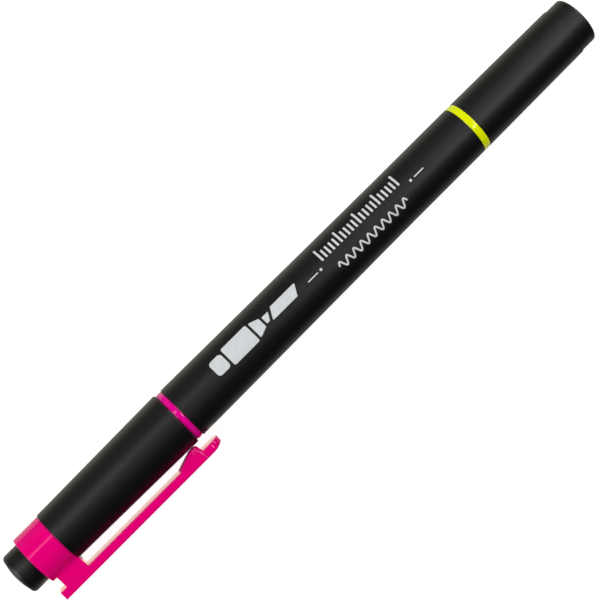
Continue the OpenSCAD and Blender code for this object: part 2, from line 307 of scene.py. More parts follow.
def scale_tree():
    """A row of ticks that stand on one line like a ruler's, with a longer one at every fifth."""
    sizes = ("Pitch", "Tick width", "Short tick", "Long tick", "Thickness")
    inputs = {"Count": "NodeSocketInt", "Start": "NodeSocketVector"}
    inputs.update(dict.fromkeys(sizes, "NodeSocketFloat"))
    tree, group_in = geometry_tree("ruler_ticks", inputs)
    step = add(tree, "ShaderNodeCombineXYZ", {"X": group_in.outputs["Pitch"]})
    row = add(
        tree,
        "GeometryNodeMeshLine",
        {
            "Count": group_in.outputs["Count"],
            "Start Location": group_in.outputs["Start"],
            "Offset": step.outputs[0],
        },
    )
    # A tick is made 1 m long from its foot, and is scaled to its length where it stands
    size = add(
        tree,
        "ShaderNodeCombineXYZ",
        {"X": group_in.outputs["Tick width"], "Y": 1.0, "Z": group_in.outputs["Thickness"]},
    )
    block = add(
        tree,
        "GeometryNodeMeshCube",
        {"Size": size.outputs[0], "Vertices X": 2, "Vertices Y": 6, "Vertices Z": 2},
    )
    tick = add(
        tree, "GeometryNodeTransform", {"Geometry": block.outputs["Mesh"], "Translation": (0, 0.5, 0)}
    )
    index = add(tree, "GeometryNodeInputIndex")
    past_fifth = add(tree, "ShaderNodeMath", {0: index.outputs[0], 1: 5.0}, operation="MODULO")
    tall = add(
        tree,
        "GeometryNodeSwitch",
        {
            "Switch": past_fifth.outputs[0],
            "False": group_in.outputs["Long tick"],
            "True": group_in.outputs["Short tick"],
        },
        input_type="FLOAT",
    )
    scale = add(tree, "ShaderNodeCombineXYZ", {"X": 1.0, "Y": tall.outputs[0], "Z": 1.0})
    ticks = add(
        tree,
        "GeometryNodeInstanceOnPoints",
        {"Points": row.outputs["Mesh"], "Instance": tick.outputs[0], "Scale": scale.outputs[0]},
    )
    finish_tree(tree, group_in, ticks.outputs[0])
    return tree


def apply_modifiers(obj):
    """Leaves what an object's modifiers make of it as its plain mesh."""
    bpy.context.view_layer.update()
    result = obj.evaluated_get(bpy.context.evaluated_depsgraph_get())
    plain = bpy.data.meshes.new_from_object(result)
    obj.modifiers.clear()
    obj.data = plain
    return plain


def run_tree(obj, tree, material, **values):
    """Runs a tree on an object, and leaves its result as the object's plain mesh."""
    modifier = obj.modifiers.new(tree.name, "NODES")
    modifier.node_group = tree
    named = {s.name: s.identifier for s in tree.interface.items_tree if s.in_out == "INPUT"}
    modifier[named["Material"]] = material
    for label, value in values.items():
        modifier[named[label.replace("_", " ")]] = value
    plain = apply_modifiers(obj)
    if not plain.materials:
        plain.materials.append(material)


# ---------------------------------------------------------------- meshes


def new_object(name, data):
    """A new object in the scene: a piece, a lamp or the camera."""
    obj = bpy.data.objects.new(name, data)
    bpy.context.scene.collection.objects.link(obj)
    return obj


def mesh_of(name, points, faces=()):
    mesh = bpy.data.meshes.new(name)
    mesh.from_pydata(points, [], faces)
    mesh.update()
    return mesh


def face_outwards(mesh):
    """Merges doubles and points every face out of its solid."""
    work = bmesh.new()
    work.from_mesh(mesh)
    bmesh.ops.remove_doubles(work, verts=work.verts, dist=0.0004 * MM)
    bmesh.ops.dissolve_degenerate(work, edges=work.edges, dist=0.0002 * MM)
    bmesh.ops.recalc_face_normals(work, faces=work.faces)
    work.to_mesh(mesh)
    work.free()


def rounded(corners, closed=True, fineness=15):
    """The outline through corners (x, y, radius), with each corner rounded.

    Points that hold the flats stand close to each rounding, so that smooth shading keeps them flat.
    fineness is the most degrees that one step of a rounding turns."""
    hold = 0.04 * MM
    count = len(corners)
    line = []
    for i, (x, y, radius) in enumerate(corners):
        here = Vector((x, y))
        ends = not closed and i in (0, count - 1)
        before = Vector(corners[(i - 1) % count][:2]) - here
        after = Vector(corners[(i + 1) % count][:2]) - here
        if ends or radius <= 0 or before.length < 1e-9 or after.length < 1e-9:
            line.append(here)
            continue
        one, other = before.normalized(), after.normalized()
        opening = one.angle(other)
        turn = math.pi - opening
        reach = radius * math.tan(turn / 2)
        limit = 0.45 * min(before.length, after.length)
        if reach > limit:
            reach = limit
            radius = reach / math.tan(turn / 2)
        centre = here + (one + other).normalized() * math.hypot(radius, reach)
        start, end = here + one * reach, here + other * reach
        if before.length > 2 * reach + 4 * hold:
            line.append(start + one * hold)
        steps = max(2, math.ceil(math.degrees(turn) / fineness))
        arm_a, arm_b = start - centre, end - centre
        for k in range(steps + 1):
            t = k / steps
            blend = arm_a * math.sin((1 - t) * turn) + arm_b * math.sin(t * turn)
            line.append(centre + blend / math.sin(turn) if turn < 3.1 else here)
        if after.length > 2 * reach + 4 * hold:
            line.append(end + other * hold)
    return line


def turned(name, corners, material, closed=True, segments=96):
    """A piece turned about the pen's axis from the corners (x, radius, rounding) of its outline."""
    line = rounded(corners, closed)
    if closed:
        line.append(line[0])
    obj = new_object(name, mesh_of(name, [(p.x, max(p.y, 0.0), 0.0) for p in line]))
    run_tree(obj, lathe(), material, Segments=segments)
    face_outwards(obj.data)
    obj.data.shade_smooth()
    return obj


def arc_corners(x, half_l, radius, crown, steps=8):
    """Corners of a crowned ring round x, whose edges lie below its middle by crown."""
    if crown <= 0:
        return [(x - half_l, radius, 0), (x + half_l, radius, 0)]
    big = (half_l**2 + crown**2) / 2 / crown
    spread = math.asin(half_l / big)
    angles = [spread * (2 * k / steps - 1) for k in range(steps + 1)]
    return [(x + big * math.sin(a), radius - big + big * math.cos(a), 0) for a in angles]


def flipped(corners, start, sign):
    """Corners measured from a barrel's end outwards, put at that end."""
    return [(start + sign * x, radius, rounding) for x, radius, rounding in corners]


def join(objects):
    """Joins objects into the first one."""
    bpy.ops.object.select_all(action="DESELECT")
    for obj in objects:
        obj.select_set(True)
    bpy.context.view_layer.objects.active = objects[0]
    if len(objects) > 1:
        bpy.ops.object.join()
    return objects[0]


def unite(first, others):
    """Fuses solids into the first one, and leaves a plain mesh."""
    for other in others:
        fuse = first.modifiers.new("fuse", "BOOLEAN")
        fuse.operation = "UNION"
        fuse.solver = "EXACT"
        fuse.object = other
    apply_modifiers(first)
    for other in others:
        bpy.data.objects.remove(other)


def keep(piece, body, slot, *nodes):
    """Makes a finished piece ride on its body in place of CAD nodes."""
    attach(piece, body)
    if nodes:
        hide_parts(*nodes)
    return piece


# ---------------------------------------------------------------- finishes


def shade(base, factor):
    """A colour made darker or lighter."""
    return [min(1.0, c * factor) for c in base[:3]] + [1.0]


def plain_material(name, **values):
    """A new material and its shader, with the given values on the shader's own sockets."""
    material = bpy.data.materials.new(name)
    material.use_nodes = True
    shader = material.node_tree.nodes["Principled BSDF"]
    for label, value in values.items():
        shader.inputs[label.replace("_", " ")].default_value = value
    return material, shader


def patterned(name, noises, tone, layers, rough, relief, **constants):
    """A material whose colour, roughness and relief follow noises on the object's own coordinates.

    noises gives each noise the size of its features, its detail and its stretch. layers lays colours
    over tone, each with its noise and the most it covers. rough is a noise with the roughness range,
    and relief a noise with its depth and strength. constants set the shader's own sockets."""
    material, shader = plain_material(name, **constants)
    tree = material.node_tree
    place = add(tree, "ShaderNodeTexCoord")
    # Noise lies mostly from 0.3 to 0.7
    span = {"From Min": 0.3, "From Max": 0.7}
    fields = {}
    for word, (size, detail, stretch) in noises.items():
        shaped = add(tree, "ShaderNodeMapping", {"Vector": place.outputs["Object"], "Scale": stretch})
        noise = add(
            tree,
            "ShaderNodeTexNoise",
            {"Vector": shaped.outputs[0], "Scale": 1 / size, "Detail": detail, "Roughness": 0.6},
        )
        fields[word] = noise.outputs["Fac"]
    for word, share, laid in layers:
        cover = add(
            tree, "ShaderNodeMapRange", {"Value": fields[word], "To Min": 0.0, "To Max": share, **span}
        )
        mixed = add(
            tree, "ShaderNodeMix", {0: cover.outputs["Result"], 6: tone, 7: laid}, data_type="RGBA"
        )
        tone = mixed.outputs[2]
    word, low, high = rough
    roughness = add(
        tree, "ShaderNodeMapRange", {"Value": fields[word], "To Min": low, "To Max": high, **span}
    )
    word, depth, strength = relief
    bump = add(
        tree, "ShaderNodeBump", {"Strength": strength, "Distance": depth, "Height": fields[word]}
    )
    tree.links.new(tone, shader.inputs["Base Color"])
    tree.links.new(roughness.outputs["Result"], shader.inputs["Roughness"])
    tree.links.new(bump.outputs["Normal"], shader.inputs["Normal"])
    return material


EVEN = (1, 1, 1)
ALONG_PEN = (0.06, 1, 1)
ROUND_PEN = (0.25, 1, 1)


def matte_black_abs(name, base):
    """ABS from a spark-eroded mould: a fine even grain that spreads highlights into soft bands."""
    return patterned(
        name,
        {"grain": (0.16 * MM, 3.0, EVEN), "clouds": (5 * MM, 2.0, EVEN)},
        shade(base, 0.9),
        [("clouds", 1.0, shade(base, 1.12))],
        ("grain", 0.4, 0.48),
        ("grain", 0.004 * MM, 0.5),
        IOR=1.5,
    )


def gloss_polypropylene(name, base, tint):
    """Dyed polypropylene from a polished mould: clear gloss over a faint long-wave ripple.
    The strong dye tints the light that comes straight back, and leaves glancing light white."""
    return patterned(
        name,
        {"ripple": (1.6 * MM, 1.0, EVEN), "clouds": (4 * MM, 2.0, EVEN)},
        shade(base, 0.95),
        [("clouds", 1.0, base)],
        ("clouds", 0.09, 0.14),
        ("ripple", 0.006 * MM, 0.35),
        IOR=1.49,
        Specular_Tint=linear(tint),
    )


def textured_polypropylene(name, base):
    """The same plastic off a spark-eroded patch of the mould: matte, so that it grips cloth."""
    return patterned(
        name,
        {"grain": (0.16 * MM, 3.0, EVEN)},
        shade(base, 0.94),
        [("grain", 1.0, base)],
        ("grain", 0.55, 0.65),
        ("grain", 0.004 * MM, 0.4),
        IOR=1.49,
        Specular_IOR_Level=0.1,
    )


def natural_polyethylene(name, base):
    """Undyed polyethylene: waxy, slightly clouded, with light soaking a little into its wall."""
    return patterned(
        name,
        {"clouds": (2.5 * MM, 3.0, EVEN)},
        shade(base, 0.93),
        [("clouds", 1.0, base)],
        ("clouds", 0.32, 0.42),
        ("clouds", 0.01 * MM, 0.3),
        IOR=1.51,
        Subsurface_Weight=0.3,
        Subsurface_Radius=(0.6, 0.5, 0.4),
        Subsurface_Scale=0.5 * MM,
    )


def bonded_fibre(name, base):
    """Polyester fibres bonded along the rod and wet with ink: streaks that run with the pen.
    The fibres are drawn 0.12 mm thick, several times the real ones, so that they show."""
    return patterned(
        name,
        {"strands": (0.12 * MM, 3.0, ALONG_PEN), "soaked": (1.5 * MM, 2.0, EVEN)},
        shade(base, 0.72),
        [("strands", 1.0, base), ("soaked", 0.35, shade(base, 0.8))],
        ("strands", 0.6, 0.85),
        ("strands", 0.03 * MM, 0.7),
    )


def wrapped_film(name, base):
    """Thin polypropylene film wound round a filler: faint wrinkles along the winding."""
    return patterned(
        name,
        {"wrinkles": (0.8 * MM, 2.0, ROUND_PEN)},
        shade(base, 0.88),
        [("wrinkles", 1.0, base)],
        ("wrinkles", 0.18, 0.3),
        ("wrinkles", 0.02 * MM, 0.5),
    )


def pad_printed_ink(name, base):
    """Pad-printed ink: a thin even coat with pinholes and slightly starved patches."""
    return patterned(
        name,
        {"patches": (0.9 * MM, 3.0, EVEN), "pinholes": (0.14 * MM, 2.0, EVEN)},
        shade(base, 0.84),
        [("patches", 0.6, base), ("pinholes", 0.4, base)],
        ("pinholes", 0.5, 0.62),
        ("pinholes", 0.004 * MM, 0.4),
    )


def finish(word):
    """A finish by its slot, or by the word for the ring or the bump. Each is made once."""
    colours = bpy.context.scene.highlighter_colours
    name, make, *details = {
        "black_plastic": ("matte_black_abs", matte_black_abs, colours.black),
        "pink_plastic": ("gloss_pink_polypropylene", gloss_polypropylene, colours.pink, "#FF9CCB"),
        "pink_ring": (
            "gloss_pink_ring_polypropylene", gloss_polypropylene, colours.ring_pink, "#FFDCEC",
        ),
        "pink_bump": ("textured_pink_polypropylene", textured_polypropylene, colours.pink),
        "yellow_plastic": (
            "gloss_yellow_polypropylene", gloss_polypropylene, colours.yellow, "#FBFFC0",
        ),
        "liner_plastic": ("natural_polyethylene", natural_polyethylene, colours.natural),
        "film": ("wrapped_film", wrapped_film, colours.natural),
        "pink_fibre": ("bonded_pink_fibre", bonded_fibre, colours.pink_fibre),
        "yellow_fibre": ("bonded_yellow_fibre", bonded_fibre, colours.yellow_fibre),
        "print_ink": ("pad_printed_ink", pad_printed_ink, colours.print_ink),
    }[word]
    return bpy.data.materials.get(name) or make(name, *details)


# ---------------------------------------------------------------- what both ends share


def bore_radius():
    return radius_of("barrel_divider")


def cap_bore_radius():
    return radius_of("yellow_cap_tube") - bpy.context.scene.highlighter_sizes.cap_wall


def liner_radius():
    return radius_of("yellow_inner_cap")


def ends():
    """Each end's colour word, its body, where its barrel end is and which way is outwards."""
    return [("pink", "pink_cap", BARREL_X[0], -1), ("yellow", "yellow_cap", BARREL_X[1], 1)]


def ring_length():
    return TUBE_X[0] - BARREL_X[1]


# ---------------------------------------------------------------- operators


class HIGHLIGHTER_OT_barrel(bpy.types.Operator):
    """Turns the barrel: straight near the plain cap, and wider towards the clip cap"""

    bl_idname = "highlighter.barrel"
    bl_label = "Barrel"

    def execute(self, context):
        sizes = context.scene.highlighter_sizes
        start, end = BARREL_X
        wide, straight = radius_of("barrel"), radius_of("yellow_cap_tube")
        corners = [
            (start, wide, sizes.edge),
            (end - sizes.straight_l, straight, 0),
            (end, straight, sizes.edge / 2),
            (end, bore_radius(), sizes.edge),
            (start, bore_radius(), sizes.edge),
        ]
        barrel = turned("barrel_shell", corners, finish("black_plastic"), segments=128)
        keep(barrel, "barrel", "black_plastic", "barrel")
        return {"FINISHED"}


class HIGHLIGHTER_OT_holders(bpy.types.Operator):
    """Turns both tip holders: spigot, coloured ring, cap seat with its bead, sealing land, nose"""

    bl_idname = "highlighter.holders"
    bl_label = "Tip holders"

    def execute(self, context):
        sizes = context.scene.highlighter_sizes
        ring = ring_length()
        seat = cap_bore_radius() - sizes.run_clear
        seal = liner_radius() - sizes.liner_wall - sizes.run_clear
        tip = radius_of("yellow_tip")
        seat_end = ring + sizes.seat_l
        seal_end = seat_end + sizes.seal_l
        front = seal_end + sizes.nose_l
        spigot = BARREL_X[1] - x_range("yellow_section")[0]
        bead = ring + 0.4 * sizes.seat_l
        bead_half = 0.45 * MM
        for word, _, start, sign in ends():
            radius = radius_of(word + "_section")
            crown = sizes.ring_crown if word == "pink" else 0.02 * MM
            corners = [
                (-spigot, tip + 1.1 * MM, 0.1 * MM),
                (-spigot, bore_radius() - 0.3 * MM, 0.1 * MM),
                (-spigot + 0.5 * MM, bore_radius(), 0.2 * MM),
                (0, bore_radius(), 0),
                *arc_corners(ring / 2, ring / 2, radius, crown),
                (ring, seat, 0.1 * MM),
                (bead - bead_half, seat, 0.2 * MM),
                (bead, seat + 0.015 * MM, 0.3 * MM),
                (bead + bead_half, seat, 0.2 * MM),
                (seat_end, seat, 0.3 * MM),
                (seat_end, seal, 0.15 * MM),
                (seal_end, seal, 0.15 * MM),
                (seal_end, seal - 0.2 * MM, 0.1 * MM),
                (front, tip + 0.45 * MM, 0.2 * MM),
                (front, tip, 0.12 * MM),
                (-1 * MM, tip, 0),
                (-1 * MM, tip + 1.1 * MM, 0),
            ]
            name = word + "_tip_holder"
            material = finish("pink_ring" if word == "pink" else "yellow_plastic")
            holder = turned(name, flipped(corners, start, sign), material)
            keep(holder, "barrel", word + "_plastic", word + "_section")
        return {"FINISHED"}


class HIGHLIGHTER_OT_tips(bpy.types.Operator):
    """Cuts both fibre tips to a slanted chisel and softens their edges"""

    bl_idname = "highlighter.tips"
    bl_label = "Fibre tips"

    def execute(self, context):
        sizes = context.scene.highlighter_sizes
        for word, _, start, sign in ends():
            node = word + "_tip"
            low, high = x_range(node)
            point = high if sign > 0 else low
            tail = low if sign > 0 else high
            radius = radius_of(node)
            reach = abs(point - start)
            front = ring_length() + sizes.seat_l + sizes.seal_l + sizes.nose_l
            flat_start = front + 0.8 * MM
            piece = self.chisel(node, abs(tail - start), reach, flat_start, radius, sizes.chisel_t)
            piece.data.transform(Matrix.Translation((start, 0, 0)) @ Matrix.Diagonal((sign, 1, 1, 1)))
            face_outwards(piece.data)
            piece.data.materials.append(finish(word + "_fibre"))
            keep(piece, "barrel", word + "_fibre", node)
        return {"FINISHED"}

    def chisel(self, node, tail, reach, flat_start, radius, thickness):
        """A rod from -tail to reach along X, cut by two flats and a slanted writing edge."""
        work = bmesh.new()
        bmesh.ops.create_cone(
            work, cap_ends=True, segments=64, radius1=radius, radius2=radius, depth=tail + reach
        )
        turn = Matrix.Rotation(math.pi / 2, 4, "Y")
        bmesh.ops.transform(work, matrix=turn, verts=work.verts)
        bmesh.ops.translate(work, vec=((reach - tail) / 2, 0, 0), verts=work.verts)
        slope = math.atan2(radius - thickness / 2, reach - flat_start)
        slant = math.radians(60)
        cuts = [
            ((flat_start, radius, 0), (math.sin(slope), math.cos(slope), 0)),
            ((flat_start, -radius, 0), (math.sin(slope), -math.cos(slope), 0)),
            ((reach, 0, radius), (math.sin(slant), 0, -math.cos(slant))),
        ]
        for point, outwards in cuts:
            whole = work.verts[:] + work.edges[:] + work.faces[:]
            cut = bmesh.ops.bisect_plane(
                work, geom=whole, plane_co=point, plane_no=outwards, clear_outer=True
            )
            rim = [g for g in cut["geom_cut"] if isinstance(g, bmesh.types.BMEdge)]
            bmesh.ops.contextual_create(work, geom=rim)
        sharp = [e for e in work.edges if len(e.link_faces) == 2 and e.calc_face_angle() > 0.5]
        front = [e for e in sharp if min(v.co.x for v in e.verts) > 0]
        bmesh.ops.bevel(
            work, geom=front, offset=0.16 * MM, offset_type="OFFSET", segments=3, profile=0.5,
            affect="EDGES", clamp_overlap=True,
        )
        # The solid bulges everywhere, so its hull closes it again after the bevel
        shell = bmesh.new()
        for vert in work.verts:
            shell.verts.new(vert.co)
        hull = bmesh.ops.convex_hull(shell, input=shell.verts[:])
        spare = {g for g in hull["geom_unused"] + hull["geom_interior"]}
        points = [g for g in spare if isinstance(g, bmesh.types.BMVert)]
        bmesh.ops.delete(shell, geom=points, context="VERTS")
        # The bevel lifts a few points a little off the rod's round
        for vert in shell.verts:
            out = math.hypot(vert.co.y, vert.co.z)
            if out > radius:
                vert.co.yz = vert.co.yz * (radius / out)
        mesh = bpy.data.meshes.new(node)
        shell.to_mesh(mesh)
        work.free()
        shell.free()
        mesh.shade_smooth()
        mesh.set_sharp_from_angle(angle=math.radians(35))
        return new_object(node + "_fibre_rod", mesh)


class HIGHLIGHTER_OT_caps(bpy.types.Operator):
    """Turns both cap tubes and the inner cups that seal the tips"""

    bl_idname = "highlighter.caps"
    bl_label = "Caps and inner cups"

    def execute(self, context):
        sizes = context.scene.highlighter_sizes
        for word, body, start, sign in ends():
            corners = self.clip_tube(sizes) if word == "pink" else self.plain_tube(sizes)
            tube = turned(word + "_cap_shell", corners, finish("black_plastic"), segments=128)
            keep(tube, body, "black_plastic", word + "_cap_tube")
            self.cup(sizes, word, body, start, sign)
        return {"FINISHED"}

    def clip_tube(self, sizes):
        mouth, collar = CLIP_MOUTH, collar_range()[1]
        mouth_r = radius_of("pink_cap_tube")
        end_r = radius_of_collar() + sizes.collar_step
        neck_r = radius_of_collar() - sizes.collar_wall
        stem_r = neck_r - sizes.cap_wall
        neck_start = x_range("pink_cap_tube")[0]
        liner = self.liner_start(mouth, -1, sizes)
        end_wall = 1.4 * MM
        return [
            (mouth, mouth_r, sizes.mouth_edge),
            (collar, end_r, 0.06 * MM),
            (collar, neck_r, 0),
            (neck_start, neck_r, 0),
            (neck_start, stem_r, 0),
            (collar + end_wall, stem_r, 0),
            (collar + end_wall, liner_radius(), 0.1 * MM),
            (liner, liner_radius(), 0),
            (liner, cap_bore_radius(), 0),
            (mouth, cap_bore_radius(), 0.15 * MM),
        ]

    def plain_tube(self, sizes):
        mouth, end = TUBE_X
        end_r = radius_of("yellow_cap_tube") - sizes.cap_taper
        liner = self.liner_start(mouth, 1, sizes)
        return [
            (mouth, radius_of("yellow_cap_tube"), sizes.edge / 2),
            (end, end_r, 0.05 * MM),
            (end, liner_radius(), 0),
            (liner, liner_radius(), 0),
            (liner, cap_bore_radius(), 0),
            (mouth, cap_bore_radius(), 0.15 * MM),
        ]

    def liner_start(self, mouth, sign, sizes):
        return mouth + sign * (sizes.seat_l + 0.1 * MM)

    def cup(self, sizes, word, body, start, sign):
        low, high = x_range(word + "_inner_cap")
        near, far = sorted((abs(low - start), abs(high - start)))
        outer = liner_radius()
        inner = outer - sizes.liner_wall
        floor = 0.7 * MM
        corners = [
            (far - floor, 0, 0),
            (far - floor, inner, 0.4 * MM),
            (near, inner, 0.2 * MM),
            (near, outer, 0.1 * MM),
            (far, outer, 0.3 * MM),
            (far, 0, 0),
        ]
        name = word + "_sealing_cup"
        cup = turned(name, flipped(corners, start, sign), finish("liner_plastic"), closed=False)
        keep(cup, body, "liner_plastic", word + "_inner_cap")


def collar_range():
    """Where the collar starts and ends along the pen."""
    sizes = bpy.context.scene.highlighter_sizes
    start = PEN_START + sizes.button_l
    return start, start + sizes.collar_l


def radius_of_collar():
    """The clip's collar, measured on its side away from the clip."""
    back = clip_plane().inverted()
    return max(-(back @ v.co).y for v in frame["nodes"]["clip_collar"].data.vertices)


class HIGHLIGHTER_OT_ends(bpy.types.Operator):
    """Turns the domed button of the clip cap and the flat plug of the plain cap"""

    bl_idname = "highlighter.ends"
    bl_label = "Button and end plug"

    def execute(self, context):
        sizes = context.scene.highlighter_sizes
        self.button(sizes)
        self.plug(sizes)
        return {"FINISHED"}

    def button(self, sizes):
        start, stem_end = x_range("pink_cap_button")
        flange = collar_range()[0]
        radius = radius_of("pink_cap_button")
        stem_r = radius_of_collar() - sizes.collar_wall - sizes.cap_wall
        dome, rim = sizes.button_dome, sizes.button_rim
        flat_r = radius - rim
        big = (flat_r**2 + dome**2) / 2 / dome
        slope = math.asin(flat_r / big)
        corners = [
            (start + big * (1 - math.cos(slope * k / 8)), big * math.sin(slope * k / 8), 0)
            for k in range(9)
        ]
        for k in range(1, 9):
            a = slope + (math.pi / 2 - slope) * k / 8
            corners.append(
                (start + dome + rim * (math.cos(slope) - math.cos(a)), flat_r + rim * math.sin(a), 0)
            )
        corners += [
            (flange, radius, 0.08 * MM),
            (flange, stem_r, 0),
            (stem_end, stem_r, 0.2 * MM),
            (stem_end, 0, 0),
        ]
        button = turned("domed_button", corners, finish("black_plastic"), closed=False, segments=128)
        keep(button, "pink_cap", "black_plastic", "pink_cap_button")

    def plug(self, sizes):
        stem, end = x_range("yellow_cap_plug")
        step = TUBE_X[1]
        radius = radius_of("yellow_cap_tube") - sizes.plug_step
        corners = [
            (stem, 0, 0),
            (stem, liner_radius(), 0.2 * MM),
            (step, liner_radius(), 0),
            (step, radius, 0.08 * MM),
            (end, radius, sizes.plug_rim),
            (end, 0, 0),
        ]
        plug = turned("flat_end_plug", corners, finish("black_plastic"), closed=False, segments=128)
        keep(plug, "yellow_cap", "black_plastic", "yellow_cap_plug")


class HIGHLIGHTER_OT_clip(bpy.types.Operator):
    """Moulds collar, web, arm, bump and tip as one piece"""

    bl_idname = "highlighter.clip"
    bl_label = "Clip and collar"

    def execute(self, context):
        sizes = context.scene.highlighter_sizes
        inner, outer, bump, half_w, tip = clip_reach()
        collar_start, collar_end = collar_range()
        web = (collar_start + 1.0 * MM, collar_end + sizes.web_lip)
        radius = radius_of_collar()
        arm = self.arm(sizes, inner, outer, bump, half_w, tip, web)
        foot = self.foot(web[0], collar_end, radius, half_w)
        for solid in (arm, foot):
            solid.data.transform(clip_plane())
            face_outwards(solid.data)
            solid.data.materials.append(finish("pink_plastic"))
            solid.data.materials.append(finish("pink_bump"))
        bore = radius - sizes.collar_wall
        corners = [
            (collar_start, radius, sizes.collar_edge),
            (collar_end, radius, sizes.collar_edge / 2),
            (collar_end, bore, 0),
            (collar_start, bore, 0.08 * MM),
        ]
        clip = turned("pocket_clip", corners, finish("pink_plastic"), segments=128)
        clip.data.materials.append(finish("pink_bump"))
        unite(clip, [foot, arm])
        face_outwards(clip.data)
        clip.data.shade_smooth()
        clip.data.set_sharp_from_angle(angle=math.radians(40))
        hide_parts("clip_collar", "clip_arm")
        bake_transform(clip)
        return {"FINISHED"}

    def arm(self, sizes, inner, outer, bump, half_w, tip, web):
        """The arm, its web and its bump as one outline, stacked across the clip with rounded edges."""
        heel = web[0] - 1.5 * MM
        foot_y = radius_of_collar() - 0.9 * MM
        bump_x = CLIP_MOUTH - 0.95 * MM
        flat, flank = 1.75 * MM, 3.7 * MM
        curve = (sizes.tip_curve_l**2 + sizes.tip_curve_in**2) / 2 / sizes.tip_curve_in
        inner_line = rounded(
            [
                (heel, inner, 0),
                (web[0], inner, 0.3 * MM),
                (web[0] + 0.02 * MM, foot_y, 0),
                (web[1] - 0.02 * MM, foot_y, 0),
                (web[1], inner, 0.3 * MM),
                (bump_x - flat - flank, inner, 0.4 * MM),
                (bump_x - flat, bump + 0.05 * MM, 0.9 * MM),
                (bump_x - 0.15 * MM, bump, 0.8 * MM),
                (bump_x + 0.25 * MM, inner, 0.12 * MM),
                (tip, inner, 0),
            ],
            closed=False,
            fineness=10,
        )
        corner_start = tip - sizes.clip_corner
        stations = [corner_start + sizes.clip_corner * math.sin(a * math.pi / 24) for a in range(12)]
        inner_line = merged_line(inner_line, [(x, inner) for x in stations if x < tip - 0.02 * MM])
        pairs = []
        for p in inner_line:
            past = max(0.0, p.x - (tip - sizes.tip_curve_l))
            top = outer - (curve - math.sqrt(curve**2 - past**2))
            pairs.append((p, Vector((p.x, top))))
        outline = [p for p, _ in pairs] + [q for _, q in reversed(pairs)]
        edge = sizes.clip_edge
        levels = []
        for k in range(6):
            a = math.pi / 2 * k / 5
            levels.append((half_w - edge + edge * math.sin(a), edge * (1 - math.cos(a))))
        hold = half_w - edge - 0.05 * MM
        stack = [(z, d) for z, d in reversed(levels)] + [(hold, 0.0), (-hold, 0.0)]
        stack += [(-z, d) for z, d in levels]
        rows = [inset(outline, depth) for _, depth in stack]
        # The bump narrows towards its crest, so that the mould lets go of it
        beyond = web[1] + 1 * MM
        rises = [(inner - min(p.y, inner)) / (inner - bump) * (p.x > beyond) for p in outline]
        count = len(outline)
        points = []
        for (z, _), row in zip(stack, rows):
            for p, rise in zip(row, rises):
                narrow = 1 - sizes.bump_taper * rise
                wide = self.plan(p.x, tip, half_w, sizes.clip_corner)
                points.append((p.x, p.y, z * wide * narrow))
        faces = []
        for level in range(len(stack) - 1):
            for i in range(count):
                j = (i + 1) % count
                a, b = level * count, (level + 1) * count
                faces.append((a + i, a + j, b + j, b + i))
        # One flat side over the web, and rungs beyond it, where the tip narrows
        split = next(i for i, (p, _) in enumerate(pairs) if p.x > beyond)
        for base in (0, (len(stack) - 1) * count):
            near = list(range(split + 1)) + list(range(count - 1 - split, count))
            faces.append(tuple(base + i for i in near))
            for i in range(split, len(pairs) - 1):
                faces.append((base + i, base + i + 1, base + count - 2 - i, base + count - 1 - i))
        arm = new_object("arm", mesh_of("arm", points, faces))
        bump_start = bump_x - flat - flank
        for face in arm.data.polygons:
            middle = face.center
            raised = middle.y < inner - 0.02 * MM and abs(face.normal.z) < 0.6
            face.material_index = int(raised and bump_start < middle.x < bump_x + 0.02 * MM)
        return arm

    def plan(self, x, tip, half_w, corner):
        """The share of the clip's width at x, which falls along a quarter circle at its tip."""
        past = min(max(0.0, x - (tip - corner)), corner * 0.999)
        return (half_w - corner + math.sqrt(corner**2 - past**2)) / half_w

    def foot(self, start, end, radius, half_w):
        """The fillets that run from the collar's round side up into the web."""
        fillet = 1.5 * MM
        centre_z = half_w + fillet
        centre_y = math.sqrt((radius + fillet) ** 2 - centre_z**2)
        low = math.asin(centre_y / (radius + fillet))
        side = []
        for k in range(9):
            a = math.pi + low + (math.pi - (math.pi + low)) * k / 8
            side.append((centre_z + fillet * math.cos(a), centre_y + fillet * math.sin(a)))
        base_y = radius - 1.15 * MM
        side = [(side[0][0] - 0.3 * MM, base_y)] + side + [(half_w - 0.4 * MM, centre_y + 0.2 * MM)]
        outline = side + [(-z, y) for z, y in reversed(side)]
        count = len(outline)
        points = [(x, y, z) for x in (start + 0.01 * MM, end - 0.02 * MM) for z, y in outline]
        faces = [(i, (i + 1) % count, count + (i + 1) % count, count + i) for i in range(count)]
        faces += [tuple(range(count)), tuple(range(count, 2 * count))]
        return new_object("foot", mesh_of("foot", points, faces))


def merged_line(line, extra):
    """Puts extra points into a line that runs along X."""
    points = list(line)
    for x, y in extra:
        if all(abs(p.x - x) > 0.01 * MM for p in points if abs(p.y - y) < 0.3 * MM):
            at = max(i for i, p in enumerate(points) if p.x < x)
            points.insert(at + 1, Vector((x, y)))
    return points


def inset(outline, depth):
    """A closed outline moved inwards by a small depth. It runs anticlockwise or clockwise."""
    if depth <= 0:
        return outline
    count = len(outline)
    area = sum(
        outline[i].x * outline[(i + 1) % count].y - outline[(i + 1) % count].x * outline[i].y
        for i in range(count)
    )
    way = 1 if area > 0 else -1
    moved = []
    for i, here in enumerate(outline):
        one = (here - outline[i - 1]).normalized()
        other = (outline[(i + 1) % count] - here).normalized()
        normals = [Vector((-d.y, d.x)) * way for d in (one, other)]
        middle = normals[0] + normals[1]
        share = max(0.4, middle.length / 2)
        moved.append(here + middle.normalized() * depth / share)
    return moved


